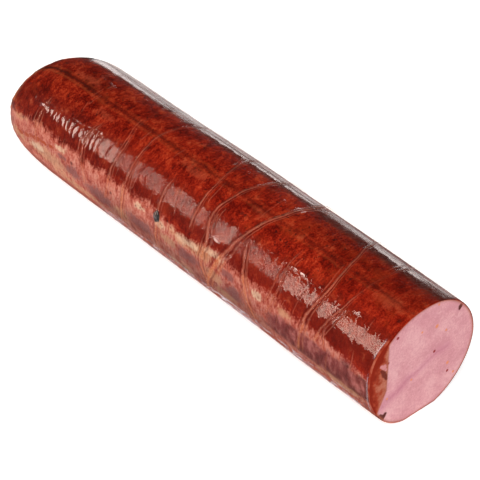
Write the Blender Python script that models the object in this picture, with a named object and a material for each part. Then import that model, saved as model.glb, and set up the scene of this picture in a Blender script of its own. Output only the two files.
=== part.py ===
"""A smoked ham log in clear shrink film, lying on its side with one end cut off.

The log lies along X. The cut face is at +X, and the far end is a blunt dome that leans towards -Y.
Angles round the log are measured about X: 0 is +Y, 90 is the top and 180 is -Y.
The origin is at the bottom of the object, in the middle of its length and width. Metres, +Z up.
"""
import math

import bmesh
import bpy
import numpy as np

MM = 0.001

# The log's driving dimensions
LENGTH = 405 * MM
RADIUS_NEAR = 44.0 * MM          # from the axis to the -Y side
RADIUS_FAR = 46.4 * MM           # from the axis to the +Y side
RADIUS_TOP = 45.4 * MM
REST_DEPTH = 43.4 * MM           # from the axis down to the flat strip that it lies on
ROUNDNESS_NEAR = 2.25            # exponent of the oval: 2 is an ellipse, more is squarer
ROUNDNESS_FAR = 1.93
SWELL = 0.35 * MM                # the gentle unevenness of the barrel
SWELL_SHORT = 21 * MM            # the lengths of its two waves, per radian
SWELL_LONG = 34 * MM
BELLY = 1.8 * MM                 # how far the log bows out on its +Y side, halfway along
BELLY_NEAR_SHARE = 0.3           # the part of that by which its -Y side follows

# The dome at the far end
DOME_LENGTH = 59.7 * MM
DOME_ROUNDNESS = 2.39
DOME_TIP_Y = -23 * MM            # the tip's place beside and below the axis
DOME_TIP_Z = -13 * MM

# The meat and the film lie on either side of the log's nominal surface
MEAT_INSET = 0.4 * MM
FILM_INNER = 0.0 * MM
FILM_OUTER = 0.4 * MM
FLOOR_CLOSE = 0.05 * MM          # film nearer the floor than this lies flat on it

# The cut end: a pink face with one side where the smoked skin rolls over the edge
ROLL_CHORD = 32 * MM             # from the axis to the straight side of the pink face
ROLL_CORNER = 26.6 * MM          # the same for the slanted side below it
ROLL_CORNER_ANGLE = 155.6
EDGE_ROUND = 0.8 * MM
ROLL_SLOPE = 0.26                # depth of the rolled edge for each metre of its width
FILM_SETBACK = 1.0 * MM          # from the rolled edge to the film's cut edge
FILM_WAVE = 0.5 * MM

# The berry that is pressed into the meat under the film
BERRY_X = -11.7 * MM
BERRY_ANGLE = 165.0
BERRY_HALF_LENGTH = 4.0 * MM
BERRY_HALF_WIDTH = 3.0 * MM
BERRY_STANDS_OUT = 1.6 * MM
TENT_HEIGHT = 1.75 * MM
TENT_REACH = 7.0 * MM

# Folds that ring the film: place at the middle, lean, angle of the lean's high side, height
FOLDS = (
    (-150 * MM, 3 * MM, 120, 0.6 * MM),
    (-97 * MM, -2 * MM, 120, 0.5 * MM),
    (-66 * MM, -5 * MM, 60, 0.6 * MM),
    (-46 * MM, 6 * MM, 60, 0.6 * MM),
    (18 * MM, -5 * MM, 60, 0.7 * MM),
    (41 * MM, 5 * MM, 60, 0.9 * MM),
    (62 * MM, 21 * MM, 62, 1.3 * MM),
    (89 * MM, -12 * MM, 140, 0.9 * MM),
    (137 * MM, 5 * MM, 125, 0.9 * MM),
    (154 * MM, 11 * MM, 85, 0.6 * MM),
)
FOLD_HALF_WIDTH = 1.6 * MM
PRESSED_FLAT = (240, 300)        # the angles between which the log's weight presses folds out

# How finely the surfaces are divided
COLUMNS = 48
FILM_RING_SPACING = 24 * MM
FILM_INNER_RINGS = (4, 3)        # before the berry and after it
MEAT_RINGS = 9
BERRY_COLUMNS = (160.0, 162.5, 167.5, 170.0)
DOME_ANGLES = (14, 27, 40, 52, 63, 73, 82)
ROLL_ANGLES = (0, 40, 68, 90)
BERRY_RINGS = (-7.0, -4.2, -2.0, 0.0, 2.0, 4.2, 7.0)

# Looks
SKIN_COLOUR = (0.27, 0.026, 0.010, 1.0)
MEAT_COLOUR = (0.72, 0.33, 0.36, 1.0)
FILM_COLOUR = (0.95, 0.75, 0.62, 1.0)

DOME_START = -LENGTH / 2 + FILM_OUTER + DOME_LENGTH
FACE_X = LENGTH / 2
AXIS_Z = REST_DEPTH + FILM_OUTER
NEAR_REACH = RADIUS_NEAR + FILM_OUTER
FAR_REACH = RADIUS_FAR + FILM_OUTER + BELLY
AXIS_Y = (NEAR_REACH - FAR_REACH) / 2


def remove_objects():
    for item in list(bpy.data.objects):
        bpy.data.objects.remove(item, do_unlink=True)


def angles_round():
    """The angles of the mesh's columns, in radians, closer together beside the berry."""
    evenly = [360.0 * i / COLUMNS for i in range(COLUMNS)]
    return np.radians(sorted(evenly + list(BERRY_COLUMNS)))


def smooth_step(low, high, value):
    t = np.clip((value - low) / (high - low), 0.0, 1.0)
    return t * t * (3 - 2 * t)


def lifted(angle):
    """1 all round the log and 0 on the strip that it lies on."""
    turned = np.degrees(angle) % 360
    low, high = PRESSED_FLAT
    side = (high - low) / 4
    return 1 - smooth_step(low - side, low, turned) * (1 - smooth_step(high, high + side, turned))


def section_radius(angle):
    """Distance from the axis to the log's side: an oval, flat where it rests."""
    across, up = np.cos(angle), np.sin(angle)
    far_share = 0.5 + 0.5 * across
    power = ROUNDNESS_NEAR * (1 - far_share) + ROUNDNESS_FAR * far_share
    half_width = RADIUS_NEAR * (1 - far_share) + RADIUS_FAR * far_share
    radius = (np.abs(across / half_width) ** power + np.abs(up / RADIUS_TOP) ** power) ** (-1 / power)
    down = np.where(up < 0, -up, 1e-6)
    return np.minimum(radius, np.where(up < -0.5, REST_DEPTH / down, radius))


def swell(x, angle):
    """Low, wide bumps of the meat, zero at the flat strip."""
    waves = np.sin(x / SWELL_SHORT + 2 * angle) + np.sin(x / SWELL_LONG - angle + 1.3)
    return SWELL * 0.5 * (waves - 1.2) * lifted(angle)


def belly(x, angle):
    """How far the log bows towards +Y: most halfway along, nothing at the two ends."""
    along = 1 - (x / (LENGTH / 2)) ** 2
    share = (1 + BELLY_NEAR_SHARE) / 2 + (1 - BELLY_NEAR_SHARE) / 2 * np.cos(angle)
    return BELLY * along * share


def dome_ring(turn):
    """The x and the size of the dome's ring at a turn of 0 (its start) to 90 degrees (its tip)."""
    power = 2 / DOME_ROUNDNESS
    x = DOME_START - DOME_LENGTH * math.sin(math.radians(turn)) ** power
    return x, math.cos(math.radians(turn)) ** power


def side_point(x, angle, size=1.0):
    """Points on the log's nominal side; size under 1 shrinks a ring towards the dome's tip."""
    radius = section_radius(angle) + swell(x, angle) * size
    y = AXIS_Y + size * (radius * np.cos(angle) + belly(x, angle)) + (1 - size) * DOME_TIP_Y
    z = AXIS_Z + size * radius * np.sin(angle) + (1 - size) * DOME_TIP_Z
    return np.stack([x + 0 * angle, y, z], axis=-1)


def ring_rows(barrel_rings, angle):
    """Rows of points from the cut end to the dome's last ring, for rings given as arrays of x."""
    rows = [side_point(x + 0 * angle, angle) for x in barrel_rings]
    for turn in DOME_ANGLES:
        x, size = dome_ring(turn)
        rows.append(side_point(x + 0 * angle, angle, size))
    return np.array(rows)


def push_out(rows, distance):
    """Move a surface along its normals; distance is one number or one for each point."""
    along = np.gradient(rows, axis=0)
    around = np.roll(rows, -1, axis=1) - np.roll(rows, 1, axis=1)
    normal = np.cross(around, along)
    normal /= np.linalg.norm(normal, axis=2, keepdims=True)
    outward = np.sign((normal * (rows - rows.mean(axis=1, keepdims=True))).sum(axis=2, keepdims=True))
    shift = np.broadcast_to(distance, rows.shape[:2])[..., None]
    return rows + normal * outward * shift


def pink_radius(angle):
    """Outline of the pink face: the log's section with one side cut straight by the rolled skin."""
    towards_near = np.maximum(-np.cos(angle), 1e-3)
    chord = ROLL_CHORD / towards_near
    corner = ROLL_CORNER / np.maximum(np.cos(angle - math.radians(ROLL_CORNER_ANGLE)), 1e-3)
    full = section_radius(angle) - MEAT_INSET
    return np.minimum(full - EDGE_ROUND, np.maximum(chord, corner))


def roll_depth(angle):
    """How far back from the cut the meat's side starts."""
    width = section_radius(angle) - MEAT_INSET - pink_radius(angle)
    return ROLL_SLOPE * width + EDGE_ROUND * (1 - ROLL_SLOPE)


def film_edge(angle):
    """Where the film is cut: a wavy edge round the log, straight where it rests."""
    wave = FILM_WAVE * (1 + np.sin(3 * angle + 1) + 0.5 * np.sin(7 * angle)) * lifted(angle)
    return FACE_X - roll_depth(angle) - FILM_SETBACK - wave


def fold_x(fold, angle):
    middle, lean, high_side, _ = fold
    return middle + lean * np.cos(angle - math.radians(high_side))


def berry_rings():
    return [BERRY_X + offset * MM for offset in sorted(BERRY_RINGS, reverse=True)]


def tent(rows):
    """Height of the film's tent over the berry."""
    top = side_point(np.array(BERRY_X), np.array(math.radians(BERRY_ANGLE)))
    away = np.linalg.norm(rows - top, axis=2)
    return TENT_HEIGHT * np.clip(1 - away / TENT_REACH, 0, 1)


def between(first, last, count):
    """Rings evenly between two rings, without them."""
    return [first + (last - first) * (i + 1) / (count + 1) for i in range(count)]


def film_outer_rows(angle):
    """The film's outside, with three rings along each fold and the tent over the berry."""
    rings = [(film_edge(angle), 0.0)]
    stops = [[(x + 0 * angle, 0.0) for x in berry_rings()]]
    for fold in FOLDS:
        crest = fold_x(fold, angle)
        height = fold[3] * lifted(angle)
        stops.append([(crest + FOLD_HALF_WIDTH, 0.0), (crest, height), (crest - FOLD_HALF_WIDTH, 0.0)])
    stops.sort(key=lambda stop: -stop[0][0][0])
    stops.append([(DOME_START + 0 * angle, 0.0)])
    for stop in stops:
        gap = float(np.mean(rings[-1][0] - stop[0][0]))
        rings += [(x, 0.0) for x in between(rings[-1][0], stop[0][0], int(gap // FILM_RING_SPACING))]
        rings += stop
    base = ring_rows([x for x, _ in rings], angle)
    height = np.zeros(base.shape[:2])
    for i, (_, ridge) in enumerate(rings):
        height[i] = ridge
    rows = push_out(base, FILM_OUTER + height + tent(base))
    resting = rows[..., 2] < FLOOR_CLOSE
    rows[resting, 2] = 0.0
    return rows


def film_inner_rows(angle):
    before, after = FILM_INNER_RINGS
    rings = [film_edge(angle)]
    rings += between(rings[0], berry_rings()[0] + 0 * angle, before)
    rings += [x + 0 * angle for x in berry_rings()]
    rings += between(rings[-1], DOME_START + 0 * angle, after)
    rings.append(DOME_START + 0 * angle)
    base = ring_rows(rings, angle)
    return push_out(base, FILM_INNER + tent(base))


def meat_rows(angle):
    """The pink face's outline, the rolled edge and the side of the meat."""
    depth = roll_depth(angle)
    start = FACE_X - depth
    rings = [start] + between(start, DOME_START + 0 * angle, MEAT_RINGS) + [DOME_START + 0 * angle]
    side = push_out(ring_rows(rings, angle), -MEAT_INSET)
    inner = pink_radius(angle)
    outer = np.hypot(side[0, :, 1] - AXIS_Y, side[0, :, 2] - AXIS_Z)
    roll = []
    for turn in ROLL_ANGLES[:-1]:
        share = math.sin(math.radians(turn))
        radius = inner + (outer - inner) * share
        x = FACE_X - depth * (1 - math.cos(math.radians(turn)))
        y = AXIS_Y + radius * np.cos(angle)
        z = np.maximum(AXIS_Z + radius * np.sin(angle), AXIS_Z - REST_DEPTH + MEAT_INSET)
        roll.append(np.stack([x, y, z], axis=-1))
    return np.concatenate([np.array(roll), side])


def dome_tip(distance):
    x, _ = dome_ring(90)
    return (x - distance, AXIS_Y + DOME_TIP_Y, AXIS_Z + DOME_TIP_Z)


def add_rows(mesh, rows, inward=False):
    """Join rows of points into a sleeve of quads and return its vertices, row by row."""
    grid = [[mesh.verts.new(point) for point in row] for row in rows]
    count = len(grid[0])
    for first, second in zip(grid, grid[1:]):
        for j in range(count):
            k = (j + 1) % count
            corners = [first[j], second[j], second[k], first[k]]
            mesh.faces.new(corners[::-1] if inward else corners)
    return grid


def add_cap(mesh, ring, point, flip=False):
    """Close a ring of vertices with a fan of triangles round a point."""
    centre = mesh.verts.new(point)
    faces = []
    for j, vertex in enumerate(ring):
        following = ring[(j + 1) % len(ring)]
        corners = [vertex, following, centre]
        faces.append(mesh.faces.new(corners[::-1] if flip else corners))
    return faces


def material(name, colour, roughness, alpha=1.0):
    made = bpy.data.materials.new(name)
    made.use_nodes = True
    shader = made.node_tree.nodes["Principled BSDF"]
    shader.inputs["Base Color"].default_value = colour
    shader.inputs["Roughness"].default_value = roughness
    shader.inputs["Metallic"].default_value = 0.0
    shader.inputs["Alpha"].default_value = alpha
    made.diffuse_color = colour[:3] + (alpha,)
    return made


def finished_object(name, mesh, materials):
    bmesh.ops.triangulate(mesh, faces=mesh.faces[:])
    bmesh.ops.recalc_face_normals(mesh, faces=mesh.faces[:])
    data = bpy.data.meshes.new(name)
    mesh.to_mesh(data)
    mesh.free()
    for made in materials:
        data.materials.append(made)
    data.shade_smooth()
    data.set_sharp_from_angle(angle=math.radians(40))
    item = bpy.data.objects.new(name, data)
    bpy.context.scene.collection.objects.link(item)
    return item


def build_film(angle):
    """A thin skin of even thickness, open at the cut end and closed over the dome."""
    mesh = bmesh.new()
    outer = add_rows(mesh, film_outer_rows(angle))
    inner = add_rows(mesh, film_inner_rows(angle), inward=True)
    add_cap(mesh, outer[-1], dome_tip(FILM_OUTER))
    add_cap(mesh, inner[-1], dome_tip(FILM_INNER), flip=True)
    count = len(angle)
    for j in range(count):
        k = (j + 1) % count
        mesh.faces.new([outer[0][j], outer[0][k], inner[0][k], inner[0][j]])
    return finished_object("film", mesh, [material("clear_film", FILM_COLOUR, 0.12, alpha=0.35)])


def build_meat(angle):
    mesh = bmesh.new()
    rows = add_rows(mesh, meat_rows(angle))
    add_cap(mesh, rows[-1], dome_tip(-MEAT_INSET))
    for face in add_cap(mesh, rows[0], (FACE_X, AXIS_Y, AXIS_Z), flip=True):
        face.material_index = 1
    skin = material("smoked_skin", SKIN_COLOUR, 0.45)
    cut = material("cut_meat", MEAT_COLOUR, 0.5)
    return finished_object("ham", mesh, [skin, cut])


def build_berry():
    """An egg-shaped berry, longer round the log than along it, half sunk in the meat."""
    turn = math.radians(BERRY_ANGLE)
    sunk = BERRY_HALF_WIDTH - BERRY_STANDS_OUT + MEAT_INSET
    radius = float(section_radius(np.array(turn)) + swell(np.array(BERRY_X), np.array(turn))) - sunk
    bow = float(belly(BERRY_X, turn))
    centre = (BERRY_X, AXIS_Y + radius * math.cos(turn) + bow, AXIS_Z + radius * math.sin(turn))
    bpy.ops.mesh.primitive_ico_sphere_add(subdivisions=2, radius=1.0, location=centre,
                                          rotation=(turn, 0, 0))
    berry = bpy.context.object
    berry.scale = (BERRY_HALF_WIDTH, BERRY_HALF_WIDTH, BERRY_HALF_LENGTH)
    return berry


def fuse(body, extras):
    """Join solids to a body by one Boolean union, and remove them."""
    group = bpy.data.collections.new("fused")
    bpy.context.scene.collection.children.link(group)
    for extra in extras:
        for home in list(extra.users_collection):
            home.objects.unlink(extra)
        group.objects.link(extra)
    union = body.modifiers.new("union", "BOOLEAN")
    union.operation = "UNION"
    union.operand_type = "COLLECTION"
    union.collection = group
    union.solver = "EXACT"
    bpy.context.view_layer.objects.active = body
    bpy.ops.object.modifier_apply(modifier=union.name)
    for extra in list(group.objects):
        bpy.data.objects.remove(extra, do_unlink=True)
    bpy.data.collections.remove(group)


def main():
    remove_objects()
    angle = angles_round()
    ham = build_meat(angle)
    fuse(ham, [build_berry()])
    build_film(angle)


main()
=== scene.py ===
"""The looks of a smoked ham log in clear shrink film, lying on a white floor.

The log lies along X with its cut face at +X. Angles round it are measured about X: 0 is +Y,
90 is the top and 180 is -Y. +Z is up. Shapes are in metres. The tables of places, and what the
materials are told about each point, are in mm and degrees.
"""
import math
from types import SimpleNamespace

import bpy
import numpy as np
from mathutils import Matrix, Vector


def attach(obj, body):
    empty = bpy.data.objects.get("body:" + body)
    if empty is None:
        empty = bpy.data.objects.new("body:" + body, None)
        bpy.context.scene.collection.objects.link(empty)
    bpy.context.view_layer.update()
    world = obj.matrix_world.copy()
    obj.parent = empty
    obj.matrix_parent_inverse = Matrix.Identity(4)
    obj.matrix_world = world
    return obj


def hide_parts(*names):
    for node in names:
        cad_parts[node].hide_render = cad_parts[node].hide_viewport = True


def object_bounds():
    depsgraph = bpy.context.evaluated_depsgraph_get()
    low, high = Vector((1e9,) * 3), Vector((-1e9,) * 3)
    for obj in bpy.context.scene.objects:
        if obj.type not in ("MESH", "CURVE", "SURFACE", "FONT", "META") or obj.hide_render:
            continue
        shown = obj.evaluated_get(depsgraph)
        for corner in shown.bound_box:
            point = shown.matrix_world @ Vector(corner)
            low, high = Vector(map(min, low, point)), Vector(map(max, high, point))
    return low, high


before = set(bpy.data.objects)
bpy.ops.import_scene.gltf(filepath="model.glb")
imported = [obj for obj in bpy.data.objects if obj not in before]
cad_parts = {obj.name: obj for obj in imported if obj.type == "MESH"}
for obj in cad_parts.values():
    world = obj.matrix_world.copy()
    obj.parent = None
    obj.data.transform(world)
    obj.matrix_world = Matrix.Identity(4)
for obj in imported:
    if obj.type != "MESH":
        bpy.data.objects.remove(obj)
cad_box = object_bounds()

MM = 0.001

# The log's driving dimensions, the same as in the part's source
LENGTH = 405 * MM
RADIUS_NEAR = 44 * MM
RADIUS_FAR = 46.4 * MM
RADIUS_TOP = 45.4 * MM
REST_DEPTH = 43.4 * MM
ROUNDNESS_NEAR = 2.25
ROUNDNESS_FAR = 1.93
SWELL = 0.35 * MM
SWELL_SHORT = 21 * MM
SWELL_LONG = 34 * MM
BELLY = 1.8 * MM
BELLY_NEAR_SHARE = 0.3
DOME_LENGTH = 59.7 * MM
DOME_ROUNDNESS = 2.39
DOME_TIP_Y = -23 * MM
DOME_TIP_Z = -13 * MM
FILM_OUTER = 0.4 * MM
ROLL_CHORD = 32 * MM
ROLL_CORNER = 26.6 * MM
ROLL_CORNER_ANGLE = 155.6
EDGE_ROUND = 0.8 * MM
ROLL_SLOPE = 0.26
FILM_SETBACK = 1 * MM
FILM_WAVE = 0.5 * MM
MEAT_INSET = 0.4 * MM
BERRY_X = -11.7 * MM
BERRY_ANGLE = 165
PRESSED_FLAT = (240, 300)

# What follows from them
DOME_START = -LENGTH / 2 + FILM_OUTER + DOME_LENGTH
DOME_POWER = 2 / DOME_ROUNDNESS
FACE_X = LENGTH / 2
AXIS_Z = REST_DEPTH + FILM_OUTER
AXIS_Y = (RADIUS_NEAR - RADIUS_FAR - BELLY) / 2
DOME_TIP = np.array([DOME_START - DOME_LENGTH, AXIS_Y + DOME_TIP_Y, AXIS_Z + DOME_TIP_Z])
MM_PER_DEGREE = math.radians(RADIUS_TOP / MM)

# Rings of points along each piece, and points round each ring; the film's inner wall keeps few
FACE_RINGS = 34
ROLL_RINGS = 8
BARREL_RINGS = 468
DOME_RINGS = 46
COLUMNS = 174
FILM_BARREL_RINGS = 556
FILM_DOME_RINGS = 44
FILM_COLUMNS = 156
INNER_STEP = 14
BERRY_RINGS = 26
BERRY_COLUMNS = 44

# The berry: half its sizes along X, round the log and outwards, and how deep its centre lies
BERRY_HALVES = (3.1 * MM, 4.2 * MM, 2.3 * MM)
BERRY_SUNK = 0.6 * MM

# Heights over the nominal side, the film's wall and the reach of its tent over the berry, in mm
SKIN_SUNK = 0.2
DOME_LUMPS = 0.35
FILM_HEIGHT = 0.36
FILM_HEIGHT_UNDER = 0.4
FILM_WALL = 0.08
SEAM_HEIGHT = 0.2
LOOSE_HEIGHT = 0.35
TENT_HEIGHT = 1.75
TENT_REACH = 7

# Folds of the film: (angle, x) points of the crest, height, width
FOLDS = (
    (((130, -145), (150, -148), (172, -150), (186, -151)), 0.45, 0.8),
    (((122, -92), (135, -94), (150, -98), (176, -93), (190, -91)), 0.45, 0.8),
    (((-35, -80), (20, -78), (55, -73), (75, -71), (100, -67), (130, -62), (165, -65),
      (190, -69)), 0.5, 0.8),
    (((-60, -30), (0, -34), (50, -38), (62, -40), (80, -44), (105, -47), (150, -47), (185, -50),
      (205, -52)), 0.55, 0.8),
    (((126, -10), (150, -11), (175, -12), (202, -12)), 0.5, 0.8),
    (((-30, -4), (40, 9), (62, 13), (76, 15), (100, 19), (142, 22), (156, 22)), 0.6, 0.9),
    (((-62, 96), (-20, 90), (34, 76), (62, 83), (75, 82), (90, 79), (105, 75), (120, 70), (135, 65),
      (150, 60), (165, 54), (180, 48), (192, 44), (215, 38)), 1.2, 1.3),
    (((112, 109), (130, 108), (150, 110), (165, 107), (182, 102)), 0.4, 0.8),
    (((-58, 112), (0, 119), (45, 128), (60, 132), (100, 142), (125, 145), (142, 142), (155, 138),
      (170, 136), (196, 134)), 0.8, 1),
    (((10, 156), (45, 160), (60, 165), (90, 165), (120, 163), (135, 160), (150, 155), (165, 150),
      (178, 146)), 0.5, 0.8),
    (((-55, -140), (-10, -134), (30, -128), (52, -124)), 0.5, 0.9),
    (((-60, 34), (-20, 30), (8, 24)), 0.4, 0.8),
    (((-50, 176), (-5, 181), (30, 184)), 0.5, 0.9),
)
# Folds that run close beside others
CROSSING_FOLDS = (
    (((-40, 52), (10, 50), (40, 44), (60, 48), (90, 42), (120, 36), (135, 34), (150, 40), (165, 39),
      (180, 37), (196, 42)), 0.8, 1.1),
    (((133, 71), (140, 73), (155, 77), (170, 80), (185, 85), (203, 92)), 0.8, 1),
    (((28, 70), (45, 76), (60, 87), (66, 92)), 0.7, 1.2),
    (((-58, -66), (-25, -60), (5, -58), (24, -60)), 0.5, 0.9),
    (((96, -178), (103, -150), (100, -136), (88, -121), (80, -116)), 0.7, 1.4),
)
# Short creases of the film: points of the crest only
CREASES = (
    ((130, 19), (145, 21), (158, 22)),
    ((128, -56), (150, -58), (170, -60)),
    ((132, 39), (150, 36), (168, 33)),
    ((135, 104), (152, 104), (168, 99)),
    ((150, 118), (170, 114), (190, 112)),
    ((135, -20), (150, -22), (165, -18)),
)
# Thin wrinkles: how far beside the folds they run, and how many lie apart from folds
BESIDE_FOLDS = (-4.4, -2.4, 2.5, 4.6)
LOOSE_WRINKLES = 46
# What folds lose over the top, by their height
LOSS_OVER_TOP = ((0.5, 0.75), (0.55, 0.45), (1.2, 0))
# How far a crest's corners are rounded, in degrees, and a fold's lines reach, in its widths
CORNER_REACH = 5
FOLD_REACH = 6
# The skin's seam along the top
SEAM_ANGLE = 104
SEAM_WIDTH = 1.15
SEAM_REACH = 6

# Upper border of the pale zone by x, and its lower border
PALE_BORDER = ((-205, 145), (-193, 150), (-186, 158), (-176, 163), (-165, 161), (-155, 158), (-140, 157),
    (-110, 160), (-80, 159), (-10, 158), (10, 163), (28, 162), (45, 157), (70, 157), (90, 160),
    (130, 162), (160, 163.5), (185, 167), (205, 175))
PALE_END = 272
# Patches of colour on the skin: x, angle, reach in mm, reach in degrees
PATCHES = {
    "tan": ((-200, 176, 3, 12), (-136, 188, 30, 9), (-178, 188, 16, 7), (-52, 192, 9, 8), (2, 182, 12, 5),
            (30, 169, 30, 8), (50, 184, 9, 7), (172, 199, 24, 6), (-100, 200, 34, 5), (62, 196, 12, 5),
            (10, 203, 22, 4), (118, 168, 8, 4), (-172, 163, 10, 5)),
    "cream": ((22, 168, 13, 5), (47, 162, 10, 4), (-150, 186, 10, 4), (-8, 172, 6, 4), (-120, 168, 8, 3),
              (93, 170, 7, 5), (-30, 168, 6, 3)),
    "purple": ((-76, 190, 17, 9), (-106, 184, 12, 6), (-30, 188, 15, 7), (22, 184, 15, 7), (70, 187, 11, 8),
               (152, 184, 42, 11), (115, 186, 18, 9), (64, 172, 8, 5), (-118, 176, 6, 3), (178, 172, 6, 6)),
    "blush": ((-132, 96, 16, 6), (182, 108, 14, 9), (-96, 116, 12, 5), (-2, 112, 16, 5), (60, 108, 12, 5)),
    "ember": ((-172, 184, 6, 2.6), (-163, 181, 6, 2.6), (-153, 178, 7, 2.4), (-143, 175, 8, 2.2),
              (-132, 173, 6, 1.8)),
}
# Places where the film is crumpled and glints, in the same form
GLINTS = ((-150, 140, 3, 2), (-88, 131, 3, 1.5), (-12, 149, 3, 3), (45, 150, 4, 3), (60, 155, 4, 3),
    (112, 150, 2, 2), (118, 129, 8, 1.5), (172, 128, 3, 1.5))
# Stains of the skin: x, angle, radius
STAINS = ((-124, 116, 1.2), (52.5, 118, 1.5), (-107, 175, 1.8), (-62, 176, 1.6), (179, 173, 1.3),
    (198, 115, 1.5), (-34, 170, 0.9), (96, 118, 1), (-20, 84, 1.1), (118, 98, 1.2), (150, 110, 1),
    (-86, 96, 1.2))
# Where the tan end of the dome starts, by angle
CAP_EDGE = ((75, -174), (90, -177), (105, -179), (120, -181), (140, -184), (160, -187), (180, -190),
    (200, -190))
# How strong the painted shade down the side and the mottling are, and how light the red is, by x
PAINTED_SIDE_SHADE = ((-100, 0.2), (-40, 0.8), (130, 1), (160, 1.9))
CONTRAST = ((-190, 1.3), (-120, 1.2), (-60, 1), (110, 1), (170, 0.7))
RED_LEVEL = ((-190, 0.84), (-150, 0.77), (-120, 0.77), (-40, 0.93), (60, 1.02), (190, 1.07))

# The film's close ripples and a thin ridge above them: their angles, by x
RIDGE = ((-160, 138), (-142, 136.2), (-130, 135.7), (-116, 135.4), (-104, 134.8), (-96, 132.8),
    (-88, 130.6))
RIPPLES_TOP = ((-160, 137), (-150, 138), (-130, 139.5), (-112, 139), (-98, 136), (-88, 134))
RIPPLES_LOW = ((-160, 141.5), (-150, 143.5), (-130, 146), (-112, 149), (-98, 150.5), (-88, 150))
# How much of its shine the film keeps along the near side, by x
SHINE = ((-66, 1), (-60, 0.6), (-54, 0.45), (-46, 0.35), (-38, 0.45), (-28, 0.45), (-24, 0.5),
    (-17, 0.5), (-14, 0.15), (-11, 0.5), (-6, 0.55), (2, 0.65), (8, 0.6), (18, 0.55), (26, 0.55),
    (31, 0.35), (34, 0.2), (37, 0.5), (46, 0.6), (58, 0.75), (61, 0.3), (72, 0.25), (77, 0.45),
    (88, 0.47), (104, 0.47), (106, 0.2), (109, 0.9), (138, 1), (142, 0.3), (146, 1))
# The angle where the bright strip along the far edge ends, and what it loses beyond the edge, by x
STRIP_END = ((-150, 71), (-110, 69.3), (-60, 67.8), (40, 67.3), (90, 65), (130, 64.3), (148, 68),
    (160, 73), (172, 68), (185, 61.5))
STRIP_LOSS = ((-80, 0), (-10, 0.2), (50, 0.3), (80, 0.78), (100, 0.82), (165, 0.78), (180, 0.5),
    (190, 0.35))

# The seam of the cut face, and spots of the face and the rolled edge: y and z from the axis, radius
FACE_SEAM = ((-35, -19), (-31, -15), (-22, -13), (-13, -7.5), (-3, -5.5), (5, -2), (12, 0.5), (22, 0))
RED_SPOTS = ((-24.3, 33, 1.4), (10, 2.5, 1.3), (23.8, -22.2, 1.4), (-31.4, 16.6, 1.1))
ORANGE_SPOTS = ((-30.6, -13.7, 1), (10.5, 23.1, 1.7), (19.5, 14.9, 1), (23.3, -14.8, 1.5),
    (29.8, -26.4, 1.2), (-9.5, -10.2, 1), (10.8, 40.8, 1.1), (-2.7, 25.5, 1))
ROLL_DARK = ((-36.6, 12.8, 1.3), (-35.7, 11.4, 1.8), (-34.9, 10, 2.1), (-34.1, 8.5, 2.1),
    (-33.3, 7, 1.9), (-32.7, 5.5, 1.5), (-32.2, 4.2, 1.1), (31.2, 28.4, 2.2), (30.5, 26.9, 1.6),
    (-36.2, -25.6, 2.3), (-35.2, -27, 2.6), (-33.9, -28.2, 2.6), (-32.8, -27.4, 2.4),
    (-31.8, -26.2, 1.8))
ROLL_PINK = ((-34.7, 15.4, 2.4), (-36.6, 16.4, 1.5), (-33.4, 12.6, 1.3))

# Colours by tone, from dark to light
RED_STOPS = ((0.26, (0.098, 0.004, 0.002)), (0.4, (0.182, 0.008, 0.003)), (0.5, (0.262, 0.014, 0.005)),
    (0.6, (0.35, 0.0225, 0.0072)), (0.76, (0.475, 0.051, 0.0165)))
PALE_STOPS = ((0.28, (0.28, 0.034, 0.021)), (0.42, (0.41, 0.088, 0.058)), (0.54, (0.49, 0.145, 0.103)),
    (0.7, (0.58, 0.235, 0.175)))
MURK_STOPS = ((0.36, (0.1, 0.014, 0.013)), (0.5, (0.18, 0.032, 0.03)), (0.64, (0.36, 0.11, 0.1)))
ROLL_STOPS = ((0.05, (0.2, 0.014, 0.005)), (0.22, (0.3, 0.036, 0.014)), (0.4, (0.4, 0.103, 0.058)),
    (0.6, (0.48, 0.17, 0.108)))
CUT_STOPS = ((0.34, (0.6, 0.24, 0.27)), (0.5, (0.675, 0.3, 0.322)), (0.66, (0.75, 0.38, 0.392)))
BERRY_STOPS = ((0.35, (0.008, 0.008, 0.009)), (0.65, (0.035, 0.032, 0.034)))
FLOOR_STOPS = ((0.3, (0.8, 0.8, 0.8)), (0.7, (0.84, 0.84, 0.84)))
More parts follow.
